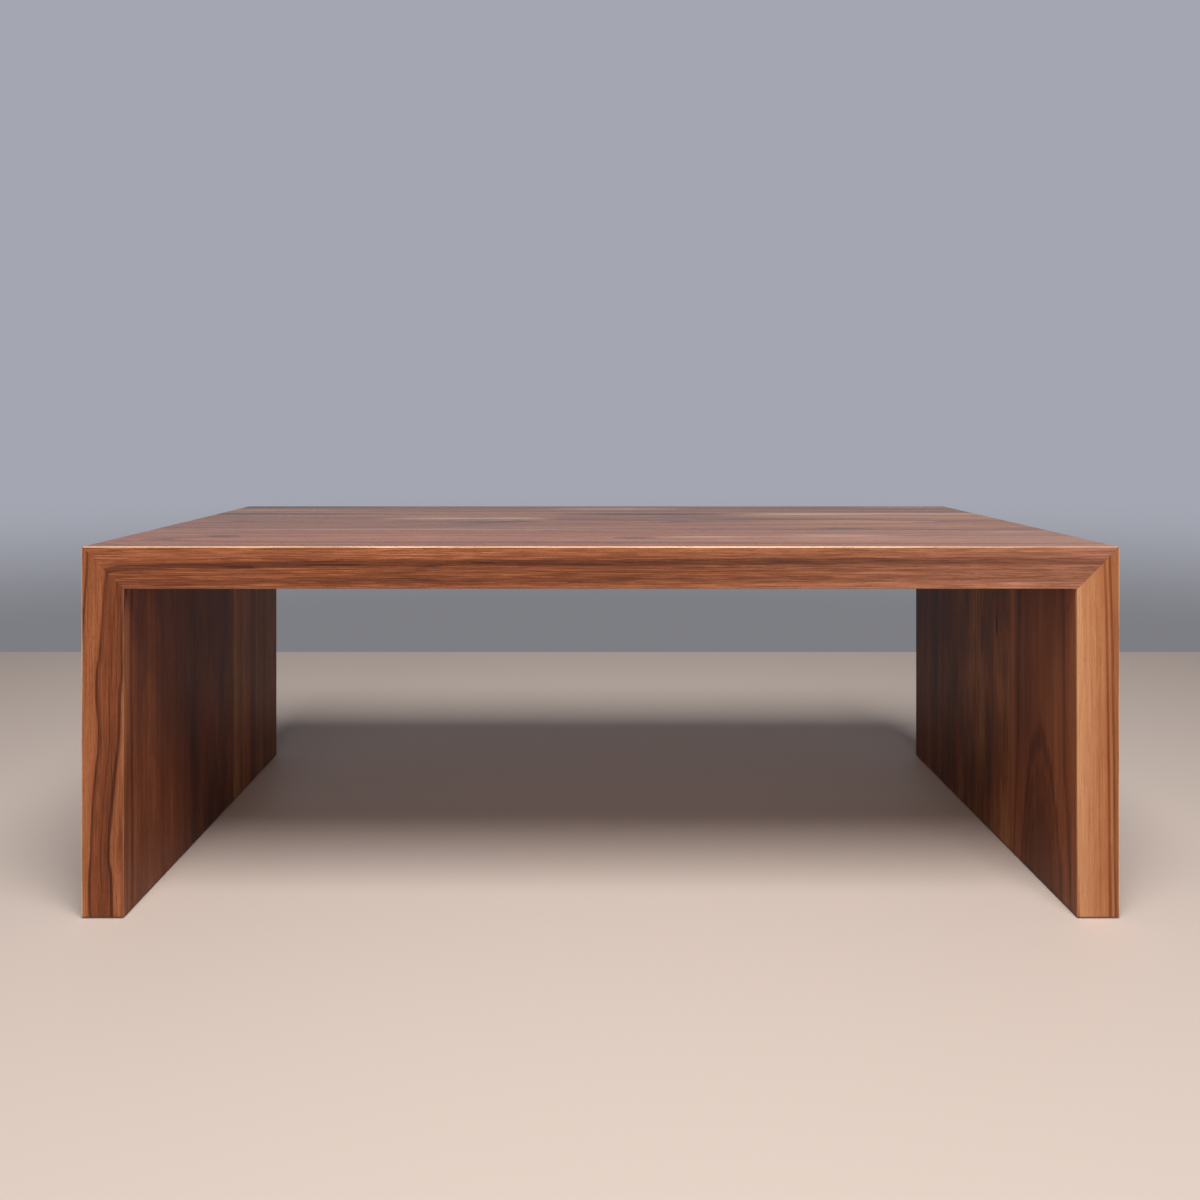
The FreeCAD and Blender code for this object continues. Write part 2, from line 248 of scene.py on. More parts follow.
# Walnut: colour, grain and finish shared by all the boards
walnut = {
    "ramp": [(0.0, (0.026, 0.011, 0.008)), (0.25, (0.070, 0.020, 0.010)),
             (0.5, (0.195, 0.056, 0.021)), (0.75, (0.39, 0.138, 0.056)),
             (1.0, (0.62, 0.30, 0.15))],       # tone 0 is the darkest streak, 1 the palest wood
    "sap": [(0.35, (0.42, 0.260, 0.168)), (0.62, (0.565, 0.375, 0.258)),
            (0.90, (0.71, 0.510, 0.365))],     # the same tones, paler: pale patches, and the painted sheen
    "mauve": (0.98, 1.02, 1.45, 1.0),          # tints
    "tan": (0.96, 1.19, 1.19, 1.0),
    "olive": (0.93, 1.18, 1.00, 1.0),
    "rubbedAndHighlight": (0.95, 0.64, 0.41, 1.0),         # bare wood along the arrises, and a painted highlight there
    "glue": (0.030, 0.014, 0.010, 1.0),        # hairlines at the seams and mitres
    "pore": (0.035, 0.015, 0.010, 1.0),
    # noises: reach in mm along, across and through the board, step of the seed, detail
    "noises": {
        "flush": ((420, 60, 60), 11, 1.0),
        "sway": ((260, 60, 60), 31, 1.0),
        "mottle": ((150, 42, 42), 17, 2.0),
        "strand": ((130, 3.4, 3.4), 23, 2.0),
        "ragged": ((110, 5, 5), 20, 2.0),
        "fibre": ((90, 0.8, 0.8), 2, 1.0),
        "fleck": ((36, 1.5, 1.5), 0, 0.0),
    },
    "noiseRange": (-0.3, 0.3),     # where nearly all of a noise lies
    "wander": [((850, 130, 130), 14.0), ((190, 34, 34), 3.0), ((60, 9, 9), 0.5)],  # reach, sway in mm
    "wanderSeed": 3.1,
    "bandReach": (1400, 300),
    "bandSeed": 7,
    "lineReach": 800,
    "lineSeed": 13,
    "figureDetail": 2.0,           # of the bands and lines
    "fleckTone": 0.14,
    "dashTone": 0.18,
    "fibreTone": 0.40,
    "dashReach": (30, 1.1, 1.1),
    "ringBend": 3.0,               # rings that a band pushes the growth lines along
    "lateWood": 3.0,               # the higher, the thinner the dark line that ends a ring
    "ringShares": ((0.2, 1.0), (-0.2, -1.0)),      # each ring's own lot, and how dark it ends
    "faceDepth": 10.0,             # mm of wood that look like the outer or the inner face
    "knotOrShadeRim": (1.0, 0.2),
    "knotOrShadeRagged": 1.5,
    "strandRange": (-0.13, 0.13),
    "strandShare": (0.4, 1.0),
    "deepStreak": 0.2,             # what is left of a streak deep in the slab
    "frontDepth": (4.0, 22.0),     # mm behind the front edge where its own bands end
    "sheenTintBehind": 0.35,           # what is left of the front edge's painted sheen tint further back
    "paintedSheenFront": 0.8,             # share of the wide faces' painted sheen on the front edge
    "arris": (1.65, 1.2),          # mm from the two faces, added up
    "arrisRagged": 0.8,
    # rubbed bare wood and a painted highlight along the outer and inner arrises
    "outerRubAndHighlight": 0.9,
    "innerRubAndHighlight": 0.08,
    "glueWidth": (0.5, 0.15),      # mm
    "seamGlue": 0.5,
    "mitreGlue": 0.25,
    "endMargin": 10.0,             # mm, an edge nearer to the table's front or rear is no seam
    "poreReach": (12.0, 0.8, 0.8),
    "poreWidth": (0.34, 0.16),
    "poreDepth": 0.00012,          # metres
    "poreRoughness": 0.12,
    "fibreHeight": 0.25,           # beside a pore's depth of 1
    "bumpStrength": 0.6,
}
topLow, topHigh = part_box("top_board_front")
slabThickness = (topHigh.z - topLow.z) / mm
frontEdge, rearEdge = cadLow.y / mm, cadHigh.y / mm
topFinish = {"roughness": (0.23, 0.34), "ior": 1.33}       # rubbed to a sheen
sideFinish = {"roughness": (0.42, 0.55), "ior": 1.22}      # oiled, nearly matt
noiseSteps = (1.0, 1.7, 0.6)       # how far a seed moves each axis
dashSteps = (1.0, 1.3, 0.4)


def grainPlace(tree, slab):
    # along the grain, across the boards and down through the slab, in mm; the two sides
    # carry on from the ends of the top, as one plank folded down at the mitres
    spot = addNode(tree, "ShaderNodeTexCoord").outputs["Object"]
    part = addNode(tree, "ShaderNodeSeparateXYZ", {0: spot}).outputs
    down = doMath(tree, "SUBTRACT", cadHigh.z, part["Z"])
    if slab == "top":
        along, depth = part["X"], down
    elif slab == "left":
        along = doMath(tree, "SUBTRACT", cadLow.x, down)
        depth = doMath(tree, "SUBTRACT", part["X"], cadLow.x)
    else:
        along = doMath(tree, "ADD", cadHigh.x, down)
        depth = doMath(tree, "SUBTRACT", cadHigh.x, part["X"])
    joined = addNode(tree, "ShaderNodeCombineXYZ", {0: along, 1: part["Y"], 2: depth}).outputs[0]
    return doVector(tree, "MULTIPLY", joined, (1 / mm,) * 3)


def boardSpot(tree, slab):
    # the parts of a place; behind is 0 on the front edge and 1 further back
    place = grainPlace(tree, slab)
    part = addNode(tree, "ShaderNodeSeparateXYZ", {0: place}).outputs
    steps = [frontEdge + step for step in walnut["frontDepth"]]
    behind = spread(tree, part["Y"], steps, (0.0, 1.0))
    return {"place": place, "along": part["X"], "across": part["Y"], "depth": part["Z"], "behind": behind}


def stretched(tree, place, reach, seed=0.0, steps=noiseSteps):
    # the place counted in reaches, moved on by the seed
    return addNode(tree, "ShaderNodeVectorMath",
                   {0: place, 1: [1 / length for length in reach], 2: [seed * step for step in steps]},
                   operation="MULTIPLY_ADD").outputs["Vector"]


def grainNoise(tree, place, reach, seed, detail=1.0):
    # soft blotches that reach so many mm along, across and through the board
    moved = stretched(tree, place, reach, seed)
    cloud = addNode(tree, "ShaderNodeTexNoise", {"Vector": moved, "Scale": 1.0, "Detail": detail})
    return doMath(tree, "SUBTRACT", cloud.outputs["Fac"], 0.5)


def boardNoise(tree, spot, board, name):
    reach, seedStep, detail = walnut["noises"][name]
    return grainNoise(tree, spot["place"], reach, board["seed"] + seedStep, detail)


def grainDashes(tree, place, reach, seed):
    # short straight dashes, each with its own shade
    moved = stretched(tree, place, reach, seed, dashSteps)
    cell = addNode(tree, "ShaderNodeTexVoronoi", {"Vector": moved, "Scale": 1.0})
    return doMath(tree, "SUBTRACT", cell.outputs["Color"], 0.5)


def ringDrift(tree, spot, inside, board):
    # the rings wave along the board; the inner rings and the wide faces can have a wave of their own
    drift = handCurve(tree, spot["along"], board["drift"])
    if "innerDrift" in board:
        inner = handCurve(tree, spot["along"], board["innerDrift"])
        deep = spread(tree, doMath(tree, "SUBTRACT", inside, drift), board["innerFrom"], (0.0, 1.0))
        drift = spread(tree, deep, (0.0, 1.0), (drift, inner), "LINEAR")
    if "wideDrift" in board:
        wide = handCurve(tree, spot["along"], board["wideDrift"])
        drift = spread(tree, spot["behind"], (0.0, 1.0), (drift, wide))
    return drift


def ringDepth(tree, spot, board):
    # how many mm a point lies inside the corner at skinAt, counted across the growth rings
    pithAcross, pithDepth = board["pith"]
    skin = math.hypot(board["skinAt"][0] - pithAcross, board["skinAt"][1] - pithDepth)
    arm = addNode(tree, "ShaderNodeVectorMath",
                  {0: spot["place"], 1: (0.0, 1.0, 1.0), 2: (0.0, -pithAcross, -pithDepth)},
                  operation="MULTIPLY_ADD").outputs["Vector"]
    inside = doMath(tree, "SUBTRACT", skin, doVector(tree, "LENGTH", arm))
    for index, (reach, amount) in enumerate(walnut["wander"]):
        sway = grainNoise(tree, spot["place"], reach, board["seed"] + walnut["wanderSeed"] * index)
        inside = addUp(tree, inside, doMath(tree, "MULTIPLY", sway, amount * board["wander"]))
    if "drift" in board:
        inside = doMath(tree, "SUBTRACT", inside, ringDrift(tree, spot, inside, board))
    return inside


def knotOrShadeSpread(tree, spot, knot, ragged):
    # 1 at the middle of a knot, streak or patch of painted shade, 0 at its rim
    squares = []
    for place, middle, reach in zip((spot["along"], spot["across"]), knot["at"], knot["reach"]):
        off = doMath(tree, "DIVIDE", doMath(tree, "SUBTRACT", place, middle), reach)
        squares.append(doMath(tree, "POWER", off, 2.0))
    away = doMath(tree, "SQRT", addUp(tree, *squares))
    fray = doMath(tree, "MULTIPLY", ragged, knot.get("ragged", walnut["knotOrShadeRagged"]))
    return spread(tree, addUp(tree, away, fray), walnut["knotOrShadeRim"], (0.0, 1.0))


def boardKnotsAndShade(tree, spot, inside, ragged, board):
    # knots swell the rings; dark and pale streaks break up into strands; a few dark patches are painted
    # shade
    lifts, pales = [], []
    strand = boardNoise(tree, spot, board, "strand")
    strand = spread(tree, strand, walnut["strandRange"], walnut["strandShare"])
    for knot in board.get("knots", []):
        middle = knotOrShadeSpread(tree, spot, knot, ragged)
        if "swell" in knot:
            swell = doMath(tree, "MULTIPLY", middle, knot["swell"])
            if "outerShare" in knot:
                shares = (knot["outerShare"], 1.0)
                deep = spread(tree, spot["depth"], (0.0, slabThickness), shares, "LINEAR")
                swell = doMath(tree, "MULTIPLY", swell, deep)
            inside = addUp(tree, inside, swell)
        if knot.get("strands", True):
            middle = doMath(tree, "MULTIPLY", middle, strand)
        if "streakDepth" in board:
            left = spread(tree, spot["depth"], board["streakDepth"], (1.0, walnut["deepStreak"]))
            middle = doMath(tree, "MULTIPLY", middle, left)
        if "lift" in knot:
            lifts.append(doMath(tree, "MULTIPLY", middle, knot["lift"]))
        if "pale" in knot:
            pales.append(doMath(tree, "MULTIPLY", middle, knot["pale"]))
    return inside, lifts, pales


def growthTone(tree, inside, band, board):
    # each growth ring pales at its start and ends in a dark line, some much darker than others
    turn = addUp(tree, doMath(tree, "DIVIDE", inside, board["ringGap"]),
                 doMath(tree, "MULTIPLY", band, walnut["ringBend"]))
    ring = doMath(tree, "FLOOR", turn)
    own = addNode(tree, "ShaderNodeTexWhiteNoise", {"W": ring}, noise_dimensions="1D").outputs["Value"]
    late = doMath(tree, "POWER", doMath(tree, "FRACT", turn), walnut["lateWood"])
    return doMath(tree, "MULTIPLY", late, spread(tree, own, *walnut["ringShares"], "LINEAR"))


def drawnTone(tree, spot, inside, board):
    # set one by one: bands follow the rings, streaks lie across the wide faces
    parts = []
    if "bands" in board:
        bands = handCurve(tree, inside, board["bands"])
        if "bandFade" in board:
            bands = doMath(tree, "MULTIPLY", bands, handCurve(tree, spot["along"], board["bandFade"]))
        if "streaks" in board:
            bands = doMath(tree, "MULTIPLY", bands, doMath(tree, "SUBTRACT", 1.0, spot["behind"]))
        parts.append(bands)
    if "streaks" in board:
        sway = boardNoise(tree, spot, board, "sway")
        lane = addUp(tree, spot["across"], doMath(tree, "MULTIPLY", sway, board["streakSway"]))
        parts.append(doMath(tree, "MULTIPLY", handCurve(tree, lane, board["streaks"]), spot["behind"]))
    if "lengthTone" in board:
        parts.append(handCurve(tree, spot["along"], board["lengthTone"]))
    return parts


def boardTone(tree, spot, inside, fleck, fibre, lifts, board):
    place, behind, seed = spot["place"], spot["behind"], board["seed"]
    bandAlong, bandAcross = walnut["bandReach"]
    bandPlace = addNode(tree, "ShaderNodeCombineXYZ",
                        {0: doMath(tree, "DIVIDE", spot["along"], bandAlong),
                         1: doMath(tree, "DIVIDE", inside, board["bandWidth"]),
                         2: doMath(tree, "DIVIDE", spot["across"], bandAcross)}).outputs[0]
    band = grainNoise(tree, bandPlace, (1, 1, 1), seed + walnut["bandSeed"], walnut["figureDetail"])
    lineReach = (walnut["lineReach"], board["lineWidth"], board["lineWidth"])
    line = grainNoise(tree, place, lineReach, seed + walnut["lineSeed"], walnut["figureDetail"])
    dash = grainDashes(tree, place, walnut["dashReach"], seed)
    mottle = boardNoise(tree, spot, board, "mottle")
    growth = growthTone(tree, inside, band, board)
    ringFront, ringOuter, ringInner = board["rings"]
    faces = (walnut["faceDepth"], slabThickness - walnut["faceDepth"])
    ringWide = spread(tree, spot["depth"], faces, (ringOuter, ringInner))
    shares = [(band, board["banding"]),
              (line, spread(tree, behind, (0.0, 1.0), board["lines"])),
              (growth, spread(tree, behind, (0.0, 1.0), (ringFront, ringWide))),
              (fleck, walnut["fleckTone"] * board["fleck"]),
              (dash, walnut["dashTone"] * board["fleck"]),
              (fibre, walnut["fibreTone"] * board["fleck"]),
              (mottle, board["mottle"])]
    figure = [doMath(tree, "MULTIPLY", value, share) for value, share in shares]
    return addUp(tree, board["tone"], *figure, *lifts, *drawnTone(tree, spot, inside, board))


def woodColour(tree, spot, tone, pales, board):
    along, behind = spot["along"], spot["behind"]
    colour = colourRamp(tree, tone, walnut["ramp"])
    flush = boardNoise(tree, spot, board, "flush")
    tintAndSheen = spread(tree, flush, walnut["noiseRange"], (0.0, board["tinted"]), "LINEAR")
    # painted sheen: a mauve tint along the board, strongest on the front edge
    if "tintAndSheen" in board:
        atFront = spread(tree, behind, (0.0, 1.0), (1.0, walnut["sheenTintBehind"]))
        further = doMath(tree, "MULTIPLY", handCurve(tree, along, board["tintAndSheen"]), atFront)
        tintAndSheen = addUp(tree, tintAndSheen, further)
    colour = blendColour(tree, tintAndSheen, colour, walnut[board["tint"]], "MULTIPLY")
    # painted sheen: a paler mix along the board
    if "paintedSheen" in board:
        atRear = spread(tree, behind, (0.0, 1.0), (walnut["paintedSheenFront"], 1.0))
        pales = [*pales, doMath(tree, "MULTIPLY", handCurve(tree, along, board["paintedSheen"]), atRear)]
    if pales:
        sap = colourRamp(tree, tone, walnut["sap"])
    for pale in pales:
        colour = blendColour(tree, pale, colour, sap)
    return colour


def rubAndHighlightArrises(tree, spot, ragged, colour, board):
    # the arrises are painted paler, as rubbed bare wood and as a painted highlight, most of all those of
    # the outer face
    depth = spot["depth"]
    fromFront = doMath(tree, "SUBTRACT", spot["across"], frontEdge)
    fromRear = doMath(tree, "SUBTRACT", rearEdge, spot["across"])
    fromEnd = addUp(tree, doMath(tree, "MINIMUM", fromFront, fromRear),
                    doMath(tree, "MULTIPLY", ragged, walnut["arrisRagged"]))
    outer = spread(tree, addUp(tree, fromEnd, depth), walnut["arris"], (0.0, walnut["outerRubAndHighlight"]))
    if "rubAndHighlightFade" in board:
        outer = doMath(tree, "MULTIPLY", outer, handCurve(tree, spot["along"], board["rubAndHighlightFade"]))
    fromInner = doMath(tree, "SUBTRACT", slabThickness, depth)
    inner = spread(tree, addUp(tree, fromEnd, fromInner), walnut["arris"], (0.0, walnut["innerRubAndHighlight"]))
    return blendColour(tree, doMath(tree, "MAXIMUM", outer, inner), colour, walnut["rubbedAndHighlight"])


def drawGlue(tree, spot, colour, board):
    # glue shows as a hairline where boards meet
    low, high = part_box(board["node"])
    margin = walnut["endMargin"]
    lines = []
    for edge in (low.y / mm, high.y / mm):
        if frontEdge + margin < edge < rearEdge - margin:
            lines.append((doMath(tree, "SUBTRACT", spot["across"], edge), walnut["seamGlue"]))
    fromCorner = doMath(tree, "SUBTRACT", cadHigh.x / mm, doMath(tree, "ABSOLUTE", spot["along"]))
    fromMitre = doMath(tree, "SUBTRACT", doMath(tree, "ABSOLUTE", fromCorner), spot["depth"])
    lines.append((fromMitre, walnut["mitreGlue"]))
    for off, share in lines:
        gap = doMath(tree, "ABSOLUTE", off)
        hairline = spread(tree, gap, walnut["glueWidth"], (0.0, share))
        colour = blendColour(tree, hairline, colour, walnut["glue"])
    return colour


def walnutBoard(board):
    material, tree, shader = newMaterial("walnut_" + board["node"])
    spot = boardSpot(tree, board["slab"])
    ragged = boardNoise(tree, spot, board, "ragged")
    fleck = boardNoise(tree, spot, board, "fleck")
    fibre = boardNoise(tree, spot, board, "fibre")
    inside = ringDepth(tree, spot, board)
    inside, lifts, pales = boardKnotsAndShade(tree, spot, inside, ragged, board)
    tone = boardTone(tree, spot, inside, fleck, fibre, lifts, board)
    colour = woodColour(tree, spot, tone, pales, board)
    colour = rubAndHighlightArrises(tree, spot, ragged, colour, board)
    colour = drawGlue(tree, spot, colour, board)

    # pores: short dark dashes along the grain
    poreSpot = stretched(tree, spot["place"], walnut["poreReach"])
    cell = addNode(tree, "ShaderNodeTexVoronoi", {"Vector": poreSpot, "Scale": 1.0})
    pore = spread(tree, cell.outputs["Distance"], walnut["poreWidth"], (0.0, 1.0))
    colour = blendColour(tree, doMath(tree, "MULTIPLY", pore, board["pores"]), colour, walnut["pore"])

    tree.links.new(colour, shader.inputs["Base Color"])
    finish = board["finish"]
    rough = addUp(tree, spread(tree, fleck, walnut["noiseRange"], finish["roughness"], "LINEAR"),
                  doMath(tree, "MULTIPLY", pore, walnut["poreRoughness"]))
    tree.links.new(rough, shader.inputs["Roughness"])
    shader.inputs["IOR"].default_value = finish["ior"]
    height = addUp(tree, doMath(tree, "MULTIPLY", fibre, walnut["fibreHeight"]),
                   doMath(tree, "MULTIPLY", pore, -1.0))
    bump = addNode(tree, "ShaderNodeBump", {"Strength": walnut["bumpStrength"],
                                            "Distance": walnut["poreDepth"], "Height": height})
    tree.links.new(bump.outputs[0], shader.inputs["Normal"])
    nodes[board["node"]].material_slots[0].material = material


# Figure of each board: places along, across and inside it are in mm, most other values are shares.
# "rings" is for the front edge, the outer face and the inner face, "lines" for the front edge and
# the wide faces. A knot or streak can swell the rings, lift the tone or lay a paler patch; a few dark
# patches are painted shade.
plainBoard = {
    "tone": 0.54, "tint": "mauve", "tinted": 0.25, "wander": 0.8,
    "banding": 0.5, "bandWidth": 20.0, "lines": (0.5, 0.5), "lineWidth": 11.0,
    "ringGap": 7.0, "rings": (0.12, 0.12, 0.12),
    "fleck": 1.0, "mottle": 0.1, "pores": 0.4, "streakSway": 22.0,
}
topRings = (0.12, 0.32, 0.32)
sideRings = (0.05, 0.20, 0.08)
farPith = (700, 25)                # mm behind a straight board's front edge, and below its outer face

# one plank pours from the top over the left corner down to the floor
frontPlank = {
    **plainBoard, "skinAt": (frontEdge, 0), "pith": (-230, 200), "seed": 1.0, "wander": 0.3,
    "banding": 0.2, "rings": (0.08, 0.30, 0.30), "tone": 0.565,
    "drift": [(-1046, -15), (-1010, -16), (-977, -14.4), (-936, -13.2), (-905, -11.6), (-865, -8),
              (-825, -5.5), (-780, -8), (-742, -4.8), (-720, -3.2), (-657, 0.8), (-609, 3),
              (-560, -2), (-300, -6), (0, -7), (300, -9), (609, -9)],
}


def straightBoard(node, slab, seed, **changes):
    # rings counted from the board's front edge, and nearly straight unless the pith is moved nearer
    low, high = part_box(node)
    front = low.y / mm
    face = 0 if slab == "top" else slabThickness
    finish = topFinish if slab == "top" else sideFinish
    return {**plainBoard, "node": node, "slab": slab, "skinAt": (front, face), "finish": finish,
            "pith": (front + farPith[0], farPith[1]), "seed": seed, **changes}


